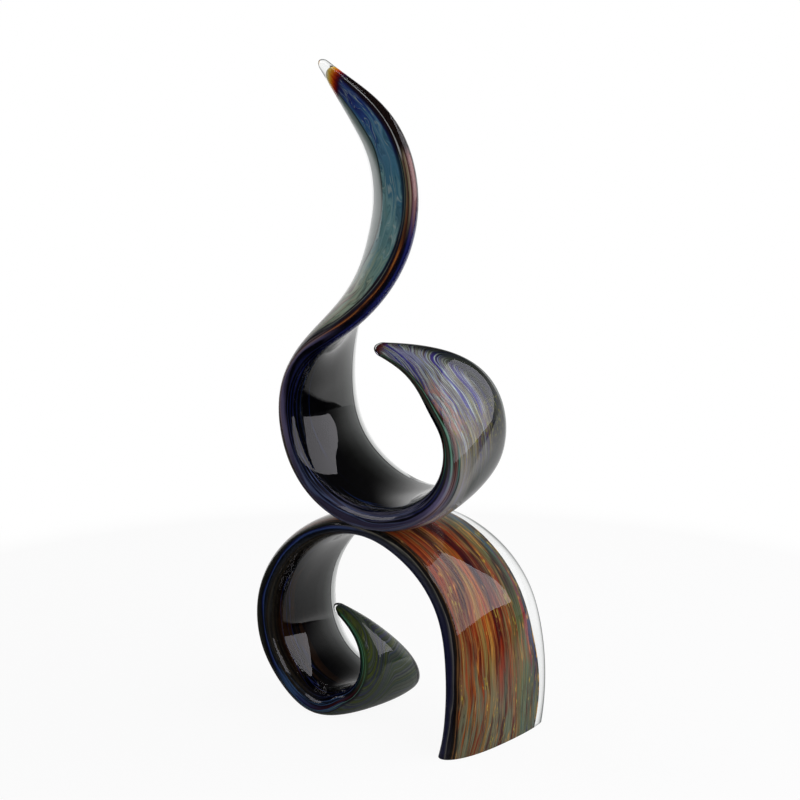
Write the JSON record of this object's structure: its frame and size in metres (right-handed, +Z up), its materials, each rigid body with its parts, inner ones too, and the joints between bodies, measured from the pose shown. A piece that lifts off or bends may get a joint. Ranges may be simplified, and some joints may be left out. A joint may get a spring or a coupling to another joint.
{
  "type": "glass sculpture",
  "caption": "Tall free-standing sculpture of curled cased-glass ribbons: an arch with a rolled-in curl below, bonded to a curl that rises into a twisted flame.",
  "frame": {"origin": "middle of the overall box in X and Y, on the plane that the foot and the lower curl stand on", "axes": "+Z up, +X from the lower curl towards the standing leg, -Y towards the front edges of the ribbons"},
  "size_m": [0.2012, 0.1112, 0.4704],
  "materials": {
    "clear_glass": "fire polished, smooth and clear",
    "rust_streaked_glass": "streaked along the ribbon in rust, orange, amber, olive and teal",
    "blue_streaked_glass": "streaked along the ribbon in teal, blue, purple and grey, amber near the tip",
    "amber_glass": "smooth translucent amber",
    "black_glass": "near-black, fading to grey and white at the back edge",
    "grey_cane_glass": "smooth olive grey",
    "light_blue_cane_glass": "smooth light blue",
    "navy_cane_glass": "smooth ultramarine",
    "orange_cane_glass": "smooth orange gold",
    "green_tip_glass": "smooth dark green",
    "amber_tip_glass": "smooth yellow running to orange and red",
    "bond_film": "clear adhesive film"
  },
  "bodies": {
    "root": {"lower_clear_casing": "clear_glass", "lower_streaked_layer": "rust_streaked_glass", "lower_amber_veil": "amber_glass", "lower_dark_layer": "black_glass", "lower_outer_cane": "grey_cane_glass", "lower_middle_cane": "light_blue_cane_glass", "lower_inner_cane": "navy_cane_glass", "lower_colored_tip": "green_tip_glass", "upper_clear_casing": "clear_glass", "upper_streaked_layer": "blue_streaked_glass", "upper_amber_veil": "amber_glass", "upper_dark_layer": "black_glass", "upper_outer_cane": "orange_cane_glass", "upper_middle_cane": "navy_cane_glass", "upper_inner_cane": "light_blue_cane_glass", "upper_colored_tip": "amber_tip_glass", "seat_bond_film": "bond_film"}
  },
  "joints": []
}
